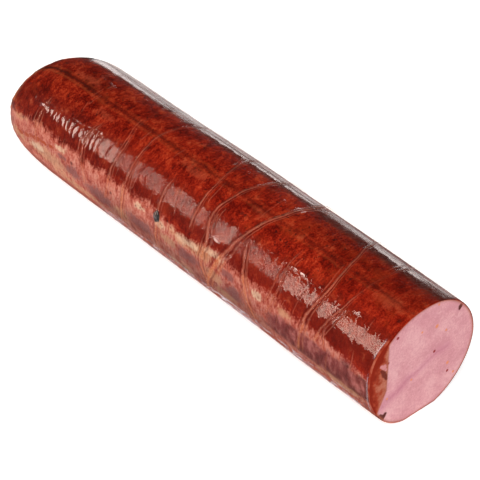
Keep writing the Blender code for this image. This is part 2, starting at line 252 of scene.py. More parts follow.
# Colours laid over others, and how strong each gets
DARK_ROLL = (0.115, 0.012, 0.008)
TINTS = {
    "smudge": ((0.075, 0.006, 0.003), 0.6),
    "glow": ((0.42, 0.045, 0.011), 0.3),
    "speck": ((0.04, 0.006, 0.005), 1),
    # Painted shade down the near side, below the bright streak
    "painted_side_shade": ((0.12, 0.007, 0.003), 0.25),
    # Painted shade in a band along the far edge, beside the bright strip
    "brown": ((0.085, 0.012, 0.006), 0.85),
    "blush": ((0.37, 0.065, 0.03), 0.5),
    "tan": ((0.55, 0.255, 0.145), 0.85),
    "cream": ((0.67, 0.45, 0.31), 0.8),
    "purple": ((0.245, 0.068, 0.064), 0.9),
    "dots": ((0.14, 0.03, 0.03), 0.7),
    "ember": ((0.36, 0.05, 0.012), 1),
    "cap": ((0.43, 0.12, 0.05), 0.75),
    # Tan on the dome's raised wrinkles, partly painted highlight, and painted shade in their hollows
    "ridge_tan_and_highlight": ((0.44, 0.12, 0.05), 0.35),
    "painted_crease_shade": ((0.14, 0.016, 0.008), 0.4),
    # The seam's painted highlight beside it, and its darker line, partly painted shade in its cleft
    "seam_highlight": ((0.34, 0.065, 0.022), 0.5),
    "seam_line_and_shade": ((0.055, 0.009, 0.005), 1),
    "roll_pink": ((0.56, 0.21, 0.21), 1),
    "roll_dark": (DARK_ROLL, 0.85),
    "stain": ((0.075, 0.009, 0.006), 0.75),
    "vein": ((0.8, 0.47, 0.46), 0.35),
    "seam_haze": ((0.6, 0.22, 0.29), 0.4),
    "seam": ((0.5, 0.15, 0.21), 0.65),
    "orange_spots": ((0.74, 0.24, 0.11), 1),
    "red_spots": ((0.3, 0.012, 0.016), 1),
    "dark_spots": (DARK_ROLL, 1),
    "rim": ((0.38, 0.09, 0.04), 1),
    "bloom": ((0.24, 0.23, 0.25), 0.55),
}
# A fold's painted shadow, and its crest, the folded film's orange-brown with some painted highlight, on the
# red skin and on the pale zone
SHADOWS = ((0.065, 0.005, 0.003), (0.17, 0.02, 0.01))
CRESTS = ((0.45, 0.13, 0.08), (0.52, 0.155, 0.055))
FOLD_MARK = 0.8
# Lines across the folds, the thin wrinkles and the seam: place, half width, strength, in fold widths
LINES = {
    "dark": (((-1.5, 0.7, 1), (0.75, 0.55, 0.9), (2.2, 0.55, 0.5)),
             ((-1.1, 0.75, 0.9), (1.35, 0.7, 0.5)), ()),
    "light": (((-0.3, 0.75, 1), (1.5, 0.5, 0.6)), ((0.15, 0.8, 0.8),), ()),
    "pinched": (((-0.3, 0.7, 1), (1.5, 0.5, 0.7)), ((0.15, 0.8, 0.8),), ((-2.4, 0.9, 0.4),)),
    "gaps": (((-0.3, 2.3, 1.3),), ((0, 0.9, 0.6),), ()),
    "crest": (((0, 0.9, 1),), (), ()),
}
# The seam's darker line, partly painted shade in its cleft, and the painted highlights beside it: place,
# half width, strength
SEAM_LINE_AND_SHADE = ((-0.3, 1.9, 1),)
SEAM_HIGHLIGHTS = ((-2.7, 1.3, 0.6), (2.2, 1.5, 1))
# How many fold widths a ramp of lines spans
LINE_SPAN = 8

# The stage
FLOOR_HALF = 7
FLOOR_Z = -0.05 * MM
FLOOR_GLOW = 0.6
DIM_ROOM = (0.024, 0.024, 0.024)
COOL_WHITE = (1, 0.94, 0.95)
WARM_WHITE = (1, 0.8, 0.7)
CARD_DARK_Y = 0.05
# Lit cards that only gloss mirrors: name, normal of their plane, place of it, corners in it, colour,
# radiance, rise
CARDS = (
    ("far_card", "z", 0.0015, ((-0.22, 0.075), (3, 0.075), (3, 6.5), (-8, 6.5)), COOL_WHITE, 2.7, 0.3),
    ("back_card", "y", 6.5, ((-8, 0), (3, 0), (3, 0.45), (-5.2, 0.45), (-5.8, 1.4), (-8, 1.4)),
     COOL_WHITE, 2.9, 0),
    ("near_card", "z", 0.0015, ((-0.5, -0.115), (0.5, -0.115), (0.5, -0.014), (-0.5, -0.014)),
     COOL_WHITE, 0.35, 0),
    ("streak_card", "y", -1.08, ((-1, 0.17), (-0.88, 0.17), (-0.86, 0.25), (-0.66, 0.25), (-0.63, 0.17),
                                 (-0.25, 0.17), (-0.25, 0.62), (-0.6, 0.8), (-0.71, 0.85), (-0.84, 0.93),
                                 (-0.9, 0.98), (-1, 1.26), (-1.22, 1.26), (-1.24, 0.87), (-1.15, 0.69),
                                 (-1.08, 0.5), (-1.03, 0.25)), WARM_WHITE, 9, 0),
    ("line_card", "y", -1.08, ((-1.36, 0.76), (-1.31, 0.76), (-1.28, 0.87), (-1.36, 1.06), (-1.48, 1.3),
                               (-1.53, 1.29), (-1.41, 1.05), (-1.33, 0.89)), WARM_WHITE, 9, 0),
)
CAMERA_PLACE = (0.79446, -0.66614, 0.84055)
CAMERA_TARGET = (0.01999, 0.00364, 0.02863)
SENSOR_MM = 36
LENS_MM = 141.54
SUN_PLACE = (0.42, -0.45, 0.79)
SUN_STRENGTH = 3.3
SUN_ANGLE = 50
FILL_PLACE = (-0.88, -1.1, 0.69)
FILL_SIZE = (1.04, 0.67)
FILL_RADIANCE = 3.6


# The log's shape


def stack(*parts):
    return np.stack(np.broadcast_arrays(*parts), axis=-1)


def step(low, high, value):
    """A soft step from 0 at low to 1 at high; low may be the larger one."""
    t = np.clip((value - low) / (high - low), 0, 1)
    return t * t * (3 - 2 * t)


def band(value, low, high, soft):
    """1 between low and high, 0 outside, with soft edges."""
    return step(low - soft, low + soft, value) * (1 - step(high - soft, high + soft, value))


def look_up(value, table):
    """Read a table of (place, result) pairs, with straight lines between them."""
    places, results = zip(*table)
    return np.interp(value, places, results)


def noise(points, cell, seed):
    """Smooth random values of about -1 to 1 that change over one cell; cell may differ by axis."""
    table = np.random.default_rng(seed).uniform(-1, 1, (32, 32, 32))
    whole, part = np.divmod(points / np.asarray(cell), 1)
    part = part * part * (3 - 2 * part)
    total = 0
    for corner in np.ndindex(2, 2, 2):
        weight = np.where(corner, part, 1 - part).prod(axis=-1)
        index = (whole.astype(int) + corner) % 32
        total = total + weight * table[tuple(np.moveaxis(index, -1, 0))]
    return total * 1.4


def lifted(angle):
    """1 all round the log and 0 on the strip that it lies on."""
    turn = np.degrees(angle) % 360
    low, high = PRESSED_FLAT
    side = (high - low) / 4
    return 1 - step(low - side, low, turn) * (1 - step(high, high + side, turn))


def section_radius(angle):
    """Distance from the axis to the log's side: an oval, flat where it rests."""
    across, up = np.cos(angle), np.sin(angle)
    far_share = 0.5 + 0.5 * across
    power = ROUNDNESS_NEAR * (1 - far_share) + ROUNDNESS_FAR * far_share
    half_width = RADIUS_NEAR * (1 - far_share) + RADIUS_FAR * far_share
    radius = (np.abs(across / half_width) ** power + np.abs(up / RADIUS_TOP) ** power) ** (-1 / power)
    down = np.where(up < 0, -up, 1e-6)
    return np.minimum(radius, np.where(up < -0.5, REST_DEPTH / down, radius))


def swell(x, angle):
    waves = np.sin(x / SWELL_SHORT + 2 * angle) + np.sin(x / SWELL_LONG - angle + 1.3)
    return SWELL * 0.5 * (waves - 1.2) * lifted(angle)


def belly(x, angle):
    """How far the log bows towards +Y: most halfway along, nothing at the two ends."""
    along = 1 - (x / (LENGTH / 2)) ** 2
    share = (1 + BELLY_NEAR_SHARE) / 2 + (1 - BELLY_NEAR_SHARE) / 2 * np.cos(angle)
    return BELLY * along * share


def side_point(x, angle, size=1):
    """Points on the log's nominal side; size under 1 shrinks a ring towards the dome's tip."""
    radius = section_radius(angle) + swell(x, angle) * size
    y = AXIS_Y + size * (radius * np.cos(angle) + belly(x, angle)) + (1 - size) * DOME_TIP_Y
    z = AXIS_Z + size * radius * np.sin(angle) + (1 - size) * DOME_TIP_Z
    return stack(x, y, z)


def axis_point(x, radius, angle):
    """Points at a distance from the log's axis."""
    return stack(x, AXIS_Y + radius * np.cos(angle), AXIS_Z + radius * np.sin(angle))


def dome_turns(count):
    """Turns of the dome's rings, evenly spaced along its profile."""
    turn = np.radians(np.linspace(0, 90, 2000))
    x = DOME_LENGTH * np.sin(turn) ** DOME_POWER
    size = RADIUS_TOP * np.cos(turn) ** DOME_POWER
    along = np.concatenate([[0], np.cumsum(np.hypot(np.diff(x), np.diff(size)))])
    wanted = np.linspace(0, along[-1], count + 2)[1:-1]
    return np.interp(wanted, along, turn)


def side_rows(start, barrel_count, dome_count, angle):
    """Rings of nominal side points, from an x for each angle to near the dome's tip."""
    share = np.linspace(0, 1, barrel_count)[:, None]
    barrel = side_point(start * (1 - share) + DOME_START * share, angle)
    turn = dome_turns(dome_count)[:, None]
    dome_x = DOME_START - DOME_LENGTH * np.sin(turn) ** DOME_POWER
    return np.concatenate([barrel, side_point(dome_x, angle, np.cos(turn) ** DOME_POWER)])


def push_out(rows, distance):
    """Move a surface along its normals, by a distance for each point."""
    along = np.gradient(rows, axis=0)
    around = np.roll(rows, -1, axis=1) - np.roll(rows, 1, axis=1)
    normal = np.cross(around, along)
    normal /= np.linalg.norm(normal, axis=2, keepdims=True)
    outward = np.sign((normal * (rows - rows.mean(axis=1, keepdims=True))).sum(axis=2, keepdims=True))
    return rows + normal * outward * distance[..., None]


def pink_radius(angle):
    """Outline of the pink face: the log's section with one side cut straight by the rolled skin."""
    chord = ROLL_CHORD / np.maximum(-np.cos(angle), 1e-3)
    corner = ROLL_CORNER / np.maximum(np.cos(angle - math.radians(ROLL_CORNER_ANGLE)), 1e-3)
    full = section_radius(angle) - MEAT_INSET
    return np.minimum(full - EDGE_ROUND, np.maximum(chord, corner))


def roll_depth(angle):
    width = section_radius(angle) - MEAT_INSET - pink_radius(angle)
    return ROLL_SLOPE * width + EDGE_ROUND * (1 - ROLL_SLOPE)


def film_edge(angle):
    wave = FILM_WAVE * (1 + np.sin(3 * angle + 1) + 0.5 * np.sin(7 * angle)) * lifted(angle)
    return FACE_X - roll_depth(angle) - FILM_SETBACK - wave


def angles_round(count):
    """Angles round the log, wider apart under it, where it rests."""
    low, high = PRESSED_FLAT
    under = 10
    open_side = np.linspace(high - 360, low, count - under, endpoint=False)
    return np.radians(np.concatenate([open_side, np.linspace(low, high, under, endpoint=False)]))


def turn_from(angle):
    """Angles in degrees from -90 to 270, so that they break under the log."""
    return (np.degrees(angle) + 90) % 360 - 90


# Folds of the film


def fold_line(path, turn):
    """The x of a fold's crest at each angle, and how far its strength has faded there."""
    rounded = look_up(turn - CORNER_REACH, path) + look_up(turn + CORNER_REACH, path)
    x = (rounded + 2 * look_up(turn, path)) / 4
    first, last = path[0][0], path[-1][0]
    fade = min(9, (last - first) / 3)
    strength = step(first - 2, first + fade, turn)
    return x, strength * (1 - step(last - fade, last + 2, turn))


def thin_wrinkles():
    """Creases and fine wrinkles, beside the folds and apart from them, in the same form as folds."""
    rng = np.random.default_rng(77)
    made = [(path, 0.3, 0.6) for path in CREASES]
    for path, _, _ in FOLDS + CROSSING_FOLDS:
        first, last = path[0][0], path[-1][0]
        for offset in BESIDE_FOLDS:
            if rng.random() < 0.25:
                continue
            start = rng.uniform(first, max(first, last - 30))
            turns = start + np.linspace(0, rng.uniform(16, 46), 4)
            shift = offset + rng.uniform(-0.5, 0.5) + rng.uniform(-0.03, 0.03) * (turns - start)
            made.append((list(zip(turns, look_up(turns, path) + shift)), 0.6, 0.8))
    for _ in range(LOOSE_WRINKLES):
        start = rng.uniform(-50, 175)
        turns = start + np.linspace(0, rng.uniform(14, 40), 4)
        lean = rng.uniform(-0.22, 0.12)
        bend = rng.uniform(-1.5, 1.5)
        x = rng.uniform(-165, 195) + lean * (turns - start) + bend * np.sin(np.linspace(0, math.pi, 4))
        made.append((list(zip(turns, x)), rng.uniform(0.3, 0.65), 0.8))
    return made


def presence(turn, tall):
    """How strong a fold of this height is at each angle: low ones fade over the top."""
    over_top = step(68, 80, turn) * (1 - step(112, 128, turn))
    return 1 - over_top * look_up(tall, LOSS_OVER_TOP)


def fold_offsets(x, turn, table):
    """Signed distance to the nearest fold in its own widths, and how strong that fold is there."""
    off = np.full_like(x, FOLD_REACH)
    power = np.zeros_like(x)
    nearest = np.full_like(x, 1e9)
    for path, tall, wide in table:
        crest, strength = fold_line(path, turn)
        away = x - crest
        cost = np.abs(away) + 30 * (1 - strength)
        closer = cost < nearest
        nearest = np.where(closer, cost, nearest)
        off = np.where(closer, away / wide, off)
        near = strength * (1 - step(3, 5, np.abs(away) / wide)) * min(1, tall / 0.7)
        power = np.where(closer, near * presence(turn, tall), power)
    return np.clip(off, -FOLD_REACH, FOLD_REACH), power


def fold_fields(points, turn):
    """Height of the folds, and the signed distances that their fine lines are drawn from."""
    x = points[..., 0] + 0.5 * noise(points, (30, 9, 9), 5)
    height = np.zeros_like(x)
    for path, tall, wide in FOLDS + CROSSING_FOLDS:
        crest, strength = fold_line(path, turn)
        ridge = tall * strength * presence(turn, tall)
        height = np.maximum(height, ridge * np.exp(-((x - crest) / wide) ** 2))
    fields = {}
    for key, table in (("fold", FOLDS), ("crossing", CROSSING_FOLDS), ("thin", thin_wrinkles())):
        fields["off_" + key], fields["power_" + key] = fold_offsets(x, turn, table)
    away = (turn - SEAM_ANGLE - 0.6 * noise(points, 25, 31)) * MM_PER_DEGREE
    fields["off_seam"] = np.clip(away / SEAM_WIDTH, -FOLD_REACH, FOLD_REACH)
    power = (0.6 + 0.4 * step(-105, -140, x)) * (0.85 + 0.3 * noise(points, 18, 32))
    fields["power_seam"] = power * (np.abs(away) < SEAM_REACH)
    return height, fields


# What the materials are told about each point


def patches(x, turn, table):
    total = 0 * x
    for place, angle, long, high in table:
        total = np.maximum(total, np.exp(-((x - place) / long) ** 2 - ((turn - angle) / high) ** 2))
    return total


def comb_share(x, turn):
    """1 where the film has close ripples, towards the far end."""
    below_top = band(turn - look_up(x, RIPPLES_TOP), 0, 30, 1)
    above_low = band(turn - look_up(x, RIPPLES_LOW), -30, 0, 1)
    return band(x, -162, -84, 3) * below_top * above_low


def side_shine(x, turn):
    """The share of the shine that the film keeps down the near side."""
    side = band(turn, 121, 155, 3)
    rippled = step(-82, -90, x)
    kept = look_up(x, SHINE) * (1 - rippled) + rippled * comb_share(x, turn)
    return 1 - side + side * kept


def dulled_edges(x, turn):
    """Less than 1 where the edge-on shine would mirror nothing but the dim room."""
    tip = 1 - 0.75 * step(-150, -178, x)
    low = 1 - 0.75 * step(186, 196, turn)
    near_low = 1 - 0.6 * step(80, 110, x) * step(170, 180, turn)
    outer = 1 - look_up(x, STRIP_LOSS) * (1 - step(52, 58, turn))
    outer = outer - 0.35 * band(x, 75, 110, 8) * band(turn, 57, 68, 2)
    line = 1 - 0.5 * band(x, -120, 170, 10) * band(turn, 59.2, 61, 1)
    below = 1 - 0.85 * band(turn - look_up(x, STRIP_END), 0, 15, 1.2)
    return tip * low * near_low * outer * line * below * side_shine(x, turn)


def slackness(points, turn):
    """How rippled the film is: taut over the top and the far edge, slacker down the sides."""
    x = points[..., 0]
    side = step(108, 132, turn) + 0.8 * step(30, -10, turn)
    uneven = np.clip(0.75 + 0.3 * noise(points, 38, 51), 0.55, 1)
    ridge = band(x, -146, -84, 2) * band(turn - look_up(x, RIDGE), -1.5, 1.5, 1)
    return (0.12 + 0.8 * side * uneven) * (1 - 0.75 * ridge) + 3 * patches(x, turn, GLINTS)


def ripple_fields(points, turn):
    """What the film's ripples need, also on the skin, which wears the clinging film's gloss."""
    far_edge = 1 - step(64, 72, turn)
    return {"slack": slackness(points, turn), "comb": comb_share(points[..., 0], turn),
            "far_edge": far_edge, "cut_share": far_edge + 0.9 * step(122, 130, turn)}


def gathers(points, angle):
    """Wrinkles that run along the dome to its tip, from about -1 to 1."""
    x = points[..., 0]
    turns = stack(np.cos(angle), np.sin(angle), x / 60)
    fine = noise(turns, 0.16, 91) + 0.8 * noise(turns, 0.07, 92)
    return fine * step(-165, -195, x) * step(-202, -198, x)


def wrinkles(points):
    """Low wrinkles of the film and of the meat's surface under it."""
    return 0.05 * (noise(points, (3, 9, 9), 41) + noise(points, (6, 14, 14), 42)
                   + noise(points, 20, 43))


def pale_depth(points, turn):
    """How far inside the pale zone's border a point is; less than 0 outside."""
    around = turn % 360
    border = look_up(points[..., 0], PALE_BORDER) + 1.6 * noise(points, 14, 21)
    end = PALE_END + 9 * noise(points, 30, 22)
    return np.minimum(around - border, end - around) * MM_PER_DEGREE


def cap_share(points, turn):
    """How tan the dome's end is: most along its edge, and on the side that is seen."""
    past = points[..., 0] - look_up(turn, CAP_EDGE) + 2.5 * noise(points, 9, 23)
    cap = step(2, -3, past) * (1 - 0.75 * step(-4, -11, past))
    return cap * (0.2 + 0.8 * band(turn, 78, 212, 14))


def skin_fields(rows, angle):
    """What the skin's material needs at each point of the meat's side."""
    points = rows / MM
    x = points[..., 0]
    turn = turn_from(angle) + 0 * x
    past_film = x - film_edge(angle) / MM
    under = band(turn, 127, 158, 6)
    cut_end = step(60, 120, x) * (1 - step(90, 106, turn))
    _, fields = fold_fields(points, turn)
    fields.update(ripple_fields(points, turn))
    for name, table in PATCHES.items():
        fields[name] = patches(x, turn, table)
    fields["ember"] += 0.8 * band(turn, 205, 214, 4)
    fields.update({
        "pale": pale_depth(points, turn),
        "cap": cap_share(points, turn),
        "gather": gathers(points, angle),
        # Painted shade down the near side, below the bright streak, stronger towards the cut
        "painted_side_shade": band(turn, 147, 166, 5) * look_up(x, PAINTED_SIDE_SHADE),
        # Painted shade along the far edge, just inside the bright strip
        "brown": band(turn, 56, 72 + 4 * step(70, 100, x), 4),
        "shade": step(85, 125, x) * band(turn, 174, 196, 5),
        "contrast": look_up(x, CONTRAST) * (1 - 0.4 * under),
        # How light the red is: darker towards the far end, down the side under the streak, and over the top
        # and far side near the cut
        "red_level": look_up(x, RED_LEVEL) * (1 - 0.3 * under) * (1 - 0.28 * cut_end),
        "low_light": 1 - 0.2 * band(x, -80, 105, 15) * step(174, 182, turn)
        - 0.25 * step(-100, -60, x) * band(turn, 190, 212, 3),
        "bare": step(-0.5, 0.8, past_film) * band(turn, 132, 214, 6),
        "covered": (1 - step(-0.3, 0.3, past_film)) * dulled_edges(x, turn),
        "ridge": turn - look_up(x, RIDGE) + 30 * (1 - band(x, -156, -84, 2)),
    })
    return fields


def seam_field(points, narrow, more):
    """1 on the face's seam and less beside it, over a width that grows towards its lower end."""
    place = points[..., 1:] - (AXIS_Y / MM, AXIS_Z / MM)
    nearest = np.full(points.shape[:2], 1e9)
    for start, end in zip(FACE_SEAM, FACE_SEAM[1:]):
        along = np.subtract(end, start)
        share = np.clip((place - start) @ along / (along @ along), 0, 1)
        nearest = np.minimum(nearest, np.linalg.norm(place - start - share[..., None] * along, axis=-1))
    wide = narrow + more * step(5, -35, place[..., 0])
    return np.exp(-(nearest / wide) ** 2)


def face_fields(rows, count, angle):
    """What the materials need on the cut face, its rim and the rolled edge; count rings are face."""
    points = rows / MM
    rim = np.zeros(rows.shape[:2])
    rim[count] = 1
    rim[count - 1] = 0.2
    roll = np.full(rows.shape[:2], 0.3)
    redder = 0.8 + 0.8 * (1 - step(150, 163, turn_from(angle)))
    roll[count:count + ROLL_RINGS] = redder * np.linspace(0, 1, ROLL_RINGS)[:, None] ** 1.5
    return {"seam": seam_field(points, 0.9, 1.6), "seam_haze": seam_field(points, 3.5, 1.5), "rim": rim,
            "roll": roll}


def film_fields(points, turn, height, tent):
    """What the film's material needs beside its ripples."""
    x = points[..., 0]
    near_edge = np.exp(-np.arange(len(points)) / 0.7)[:, None]
    far_more = 1 + 2.5 * (1 - step(84, 112, turn)) - 0.5 * step(118, 126, turn)
    return {
        "lift": (step(0.05, 0.35, height) + step(0.1, 0.5, tent)) * far_more,
        "sheer": dulled_edges(x, turn),
        "gleam": 0.03 * comb_share(x, turn) + 0.1 * patches(x, turn, GLINTS),
        # Painted glints: pale strands where the film stands off low down the near side, and a line along its
        # cut edge
        "painted_glint": band(turn, 201, 218, 4) * (0.35 * band(x, -75, 60, 10) + 0.8 * band(x, 45, 188, 10)),
        "painted_edge_glint": near_edge * (0.4 * band(turn, 133, 150, 1.5) + 0.35 * band(turn, 168, 203, 4)),
    }


# Materials


class Graph:
    """A material's node tree with short ways to add nodes."""

    def __init__(self, name):
        self.material = bpy.data.materials.new(name)
        self.material.use_nodes = True
        self.tree = self.material.node_tree
        self.tree.nodes.clear()
        self.coords = self.add("TexCoord", output="Object")

    def node(self, kind, inputs=None, **settings):
        """A new node; an input is a socket or a constant, and a colour has three values."""
        made = self.tree.nodes.new("ShaderNode" + kind)
        for key, value in settings.items():
            setattr(made, key, value)
        for key, value in (inputs or {}).items():
            socket = made.inputs[key]
            if isinstance(value, bpy.types.NodeSocket):
                self.tree.links.new(value, socket)
            elif value is not None:
                socket.default_value = (*value, 1) if socket.type == "RGBA" else value
        return made

    def add(self, kind, inputs=None, output=0, **settings):
        """One output of a new node."""
        return self.node(kind, inputs, **settings).outputs[output]

    def field(self, name):
        return self.add("Attribute", output="Fac", attribute_name=name)

    def math(self, operation, a, b=None, c=None):
        return self.add("Math", {0: a, 1: b, 2: c}, operation=operation)

    def times(self, a, b):
        return self.math("MULTIPLY", a, b)

    def scaled(self, value, factor, start):
        """The start plus the value times the factor."""
        return self.math("MULTIPLY_ADD", value, factor, start)

    def sway(self, value, *waves):
        """A value that sways with some waves of 0 to 1, by an amount for each."""
        for wave, amount in waves:
            value = self.scaled(self.math("SUBTRACT", wave, 0.5), amount, value)
        return value

    def noise(self, scale, detail, roughness, stretch=None, distortion=0):
        vector = self.coords
        if stretch is not None:
            vector = self.add("Mapping", {"Vector": vector, "Scale": stretch})
        return self.add("TexNoise", {"Vector": vector, "Scale": scale, "Detail": detail,
                                     "Roughness": roughness, "Distortion": distortion}, "Fac")

    def range(self, value, low, high, to_low=0, to_high=1):
        """A soft step from to_low to to_high while the value goes from low to high."""
        limits = {"From Min": low, "From Max": high, "To Min": to_low, "To Max": to_high}
        return self.add("MapRange", {"Value": value, **limits}, "Result",
                        interpolation_type="SMOOTHSTEP")

    def ramp(self, value, stops):
        made = self.node("ValToRGB", {"Fac": value})
        elements = made.color_ramp.elements
        while len(elements) < len(stops):
            elements.new(0.5)
        for element, (place, colour) in zip(elements, stops):
            element.position = place
            element.color = (*colour, 1)
        return made.outputs["Color"]

    def lines(self, off, peaks):
        """Lines across a fold: peaks gives their places, half widths and strengths, in fold widths."""
        stops = []
        for place, half, strength in peaks:
            stops += [(place - half, 0), (place, strength), (place + half, 0)]
        share = self.scaled(off, 1 / LINE_SPAN, 0.5)
        return self.ramp(share, [(0.5 + place / LINE_SPAN, [value] * 3) for place, value in stops])

    def spots(self, centres, flat=False):
        """1 inside small irregular spots at the given points, 0 outside; flat ones ignore x."""
        place = self.coords
        if flat:
            place = self.add("VectorMath", {0: place, 1: (0, 1, 1)}, operation="MULTIPLY")
        ragged = self.scaled(self.noise(360, 2, 0.5), 0.7, 0.65)
        total = 0
        for centre, radius in centres:
            away = self.add("VectorMath", {0: place, 1: centre}, "Value", operation="DISTANCE")
            inside = self.range(self.times(away, ragged), radius * 1.1, radius * 0.6)
            total = self.math("MAXIMUM", total, inside)
        return total

    def mix(self, share, a, b, blend="MIX"):
        return self.add("Mix", {0: share, 6: a, 7: b}, 2, data_type="RGBA", blend_type=blend)

    def tint(self, under, name, share):
        """Lay a colour of the tints over another one where share is 1."""
        colour, most = TINTS[name]
        return self.mix(self.times(share, most), under, colour)

    def bump(self, height, strength, distance):
        return self.add("Bump", {"Height": height, "Strength": strength, "Distance": distance})

    def solid(self, inputs):
        return self.add("BsdfPrincipled", inputs)

    def cover(self, share, under, over):
        """One surface over another where share is 1."""
        return self.add("MixShader", {0: share, 1: under, 2: over})

    def finish(self, surface):
        self.node("OutputMaterial", {"Surface": surface})
        return self.material


def fold_lines(g, name, narrow=0.8):
    """Lines that follow the folds, the fine wrinkles beside them and the seam."""
    thick, thin, seam = LINES[name]
    wobble = g.noise(150, 3, 0.6)
    total = 0
    for key, peaks in (("fold", thick), ("crossing", thick), ("thin", thin), ("seam", seam)):
        if not peaks:
            continue
        off = g.field("off_" + key)
        if key in ("fold", "crossing"):
            off = g.times(off, narrow)
        drawn = g.lines(g.sway(off, (wobble, 1.6)), peaks)
        total = g.math("MAXIMUM", total, g.times(drawn, g.field("power_" + key)))
    return g.times(total, g.range(g.noise(75, 2, 0.5), 0.36, 0.58, 0.6, 1))


def seam_lines(g, peaks):
    """Lines along the skin's seam."""
    off = g.sway(g.field("off_seam"), (g.noise(150, 3, 0.6), 2.2))
    return g.times(g.lines(off, peaks), g.field("power_seam"))


def film_ripple(g):
    """Normals of the film's fine ripples, stronger where it is less taut, and of its pinched folds."""
    ripple = g.noise(230, 1, 0.5, distortion=0.6)
    swing = g.noise(105, 1, 0.5, stretch=(1, 0.5, 0.5))
    heights = g.times(g.scaled(ripple, 0.95, swing), g.field("slack"))
    comb = g.add("TexWave", {"Vector": g.coords, "Scale": 64, "Distortion": 5, "Detail": 2,
                             "Detail Scale": 1.6}, "Fac", bands_direction="X")
    heights = g.scaled(g.times(comb, 0.85), g.field("comb"), heights)
    heights = g.scaled(fold_lines(g, "pinched"), 0.7, heights)
    return g.bump(heights, 1, 0.4 * MM)


def rim_gaps(g):
    """1, and less where folds and streaks cut the reflections of the far edge and the near side."""
    cuts = g.times(g.math("MINIMUM", fold_lines(g, "gaps"), 1), g.field("cut_share"))
    streaks = g.range(g.noise(230, 3, 0.6, stretch=(0.05, 1, 1), distortion=0.3), 0.55, 0.43, 0, 0.7)
    cuts = g.math("MAXIMUM", cuts, g.times(streaks, g.field("far_edge")))
    return g.math("SUBTRACT", 1, cuts)


def skin_grain(g):
    """The noises that the skin's colours and relief share."""
    fibre = g.noise(480, 4, 0.65, stretch=(1, 0.4, 0.4), distortion=0.5)
    return SimpleNamespace(mottle=g.noise(110, 5, 0.62), blotch=g.noise(34, 3, 0.5), fibre=fibre,
                           fine=g.noise(900, 3, 0.6))


def red_skin(g, grain):
    """Mottled smoked red, with smudges, specks and a glow, painted shade down the side and along the far
    edge, and darker towards the far end.
    """
    tone = g.sway(0.5, (grain.mottle, 0.95), (grain.blotch, 0.4), (grain.fibre, 0.85), (grain.fine, 0.9))
    red = g.ramp(g.sway(0.5, (tone, g.field("contrast"))), RED_STOPS)
    smudge = g.noise(170, 4, 0.6, stretch=(1, 0.6, 0.6), distortion=0.6)
    smudge = g.times(g.range(smudge, 0.57, 0.67), g.range(grain.blotch, 0.36, 0.56, 0.9, 0.25))
    red = g.tint(red, "smudge", smudge)
    red = g.tint(red, "glow", g.range(g.noise(60, 4, 0.6, distortion=0.5), 0.55, 0.68))
    speck = g.range(g.noise(330, 2, 0.5), 0.65, 0.69)
    red = g.tint(red, "speck", g.times(speck, g.range(g.field("contrast"), 0.6, 1, 0.2, 0.8)))
    # Painted shade: down the near side, and in a band along the far edge beside the bright strip
    for name in ("painted_side_shade", "brown"):
        red = g.tint(red, name, g.field(name))
    # Darker towards the far end
    red = g.mix(1, red, g.field("red_level"), "MULTIPLY")
    blush = g.sway(g.field("blush"), (grain.fibre, 1.8), (grain.mottle, 2.2))
    return g.tint(red, "blush", g.range(blush, 0.2, 1.1))


def pale_skin(g, grain):
    """The pale zone: fibrous pink with tan, cream and purple patches, a murky shade and dots."""
    tone = g.sway(grain.mottle, (grain.fibre, 1.1), (grain.fine, 0.6))
    pale = g.ramp(tone, PALE_STOPS)
    for name in ("tan", "cream", "purple"):
        colour, most = TINTS[name]
        share = g.range(g.sway(g.field(name), (grain.fibre, 1.7), (grain.mottle, 1.6)), 0.3, 0.75)
        dark = tuple(0.55 * value for value in colour)
        patch = g.mix(g.range(tone, 0.36, 0.64, 0.55, 0), colour, dark)
        pale = g.mix(g.times(share, most), pale, patch)
    murk = g.ramp(g.noise(150, 4, 0.6, stretch=(1, 0.6, 0.6)), MURK_STOPS)
    shade = g.range(g.sway(g.field("shade"), (grain.mottle, 1.2)), 0.2, 0.8)
    pale = g.mix(g.times(shade, 0.9), pale, murk)
    pale = g.mix(1, pale, g.field("low_light"), "MULTIPLY")
    return g.tint(pale, "dots", g.range(g.noise(420, 2, 0.5), 0.66, 0.71))


def dome_marks(g, grain, colour):
    """Ember streaks along the border, and the tan end of the dome, with tan on its raised wrinkles, partly
    painted highlight, and painted shade in their hollows.
    """
    ember = g.sway(g.field("ember"), (grain.fibre, 2.2))
    colour = g.tint(colour, "ember", g.range(ember, 0.4, 0.7))
    cap = g.sway(g.field("cap"), (grain.mottle, 2))
    colour = g.tint(colour, "cap", g.range(cap, 0.15, 1))
    # Tan on the raised wrinkles, partly painted highlight; painted shade in the hollows
    colour = g.tint(colour, "ridge_tan_and_highlight", g.range(g.field("gather"), 0.25, 0.8))
    return g.tint(colour, "painted_crease_shade", g.range(g.field("gather"), -0.2, -0.7))


def fold_marks(g, colour, pale_share, dark, light):
    """The seam, and the folds' painted shadows and their crests, partly painted highlight."""
    # Painted highlight beside the seam, then its darker line, partly painted shade in its cleft
    colour = g.tint(colour, "seam_highlight", seam_lines(g, SEAM_HIGHLIGHTS))
    colour = g.tint(colour, "seam_line_and_shade", seam_lines(g, SEAM_LINE_AND_SHADE))
    # Painted shade beside the folds, then their crests: the folded film's tint, partly painted highlight
    for lines, tints in ((dark, SHADOWS), (light, CRESTS)):
        colour = g.mix(g.times(lines, FOLD_MARK), colour, g.mix(pale_share, *tints))
    return colour


